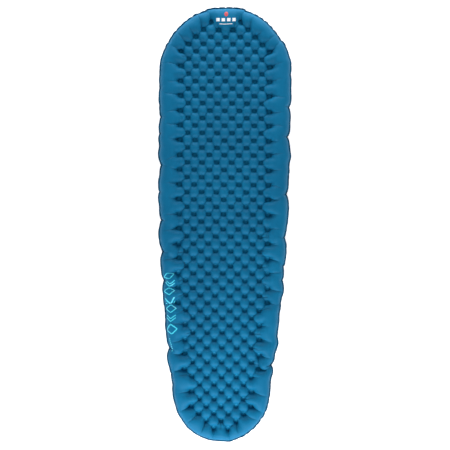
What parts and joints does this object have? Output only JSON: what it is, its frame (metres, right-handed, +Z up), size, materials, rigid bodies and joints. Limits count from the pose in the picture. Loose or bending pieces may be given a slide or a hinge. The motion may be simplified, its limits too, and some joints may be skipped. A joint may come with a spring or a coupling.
{
  "type": "inflatable sleeping pad",
  "caption": "Blue mummy-shaped insulated inflatable sleeping pad with a spot-welded quilt surface, edge tube and flat two-stage valve.",
  "frame": {"origin": "centre of the footprint on the ground", "axes": "+X across the pad, +Y along it towards the head end, +Z up"},
  "size_m": [0.55, 1.8298, 0.08],
  "materials": {
    "coated_fabric": "satin",
    "batting": "matte",
    "metallised_film": "gloss",
    "valve_body": "matte",
    "valve_moving": "satin",
    "silicone": "satin",
    "pin": "satin"
  },
  "bodies": {
    "root": {"top_sheet": "coated_fabric", "bottom_sheet": "coated_fabric", "fibre_batt": "batting", "upper_film": "metallised_film", "lower_film": "metallised_film", "valve_base": "valve_body", "collar_pin": "pin"},
    "collar": {"valve_collar": "valve_moving", "collar_seal": "silicone", "cap_pin": "pin"},
    "cap": {"valve_cap": "valve_moving", "cap_seal": "silicone"},
    "diaphragm": {"check_diaphragm": "silicone", "diaphragm_button": "valve_moving"}
  },
  "joints": [
    {"name": "collar_hinge", "type": "hinge", "parent": "root", "child": "collar", "pos_m": [0, 0.90557, 0.03086], "axis": [1, 0, 0], "range_deg": [0, 105]},
    {"name": "cap_hinge", "type": "hinge", "parent": "collar", "child": "cap", "pos_m": [0.014, 0.89787, 0.01467], "axis": [0, -0.6157, -0.788], "range_deg": [0, 165]},
    {"name": "diaphragm_slide", "type": "slide", "parent": "collar", "child": "diaphragm", "axis": [0, -0.788, 0.6157], "range_m": [0, 0.0019]}
  ]
}
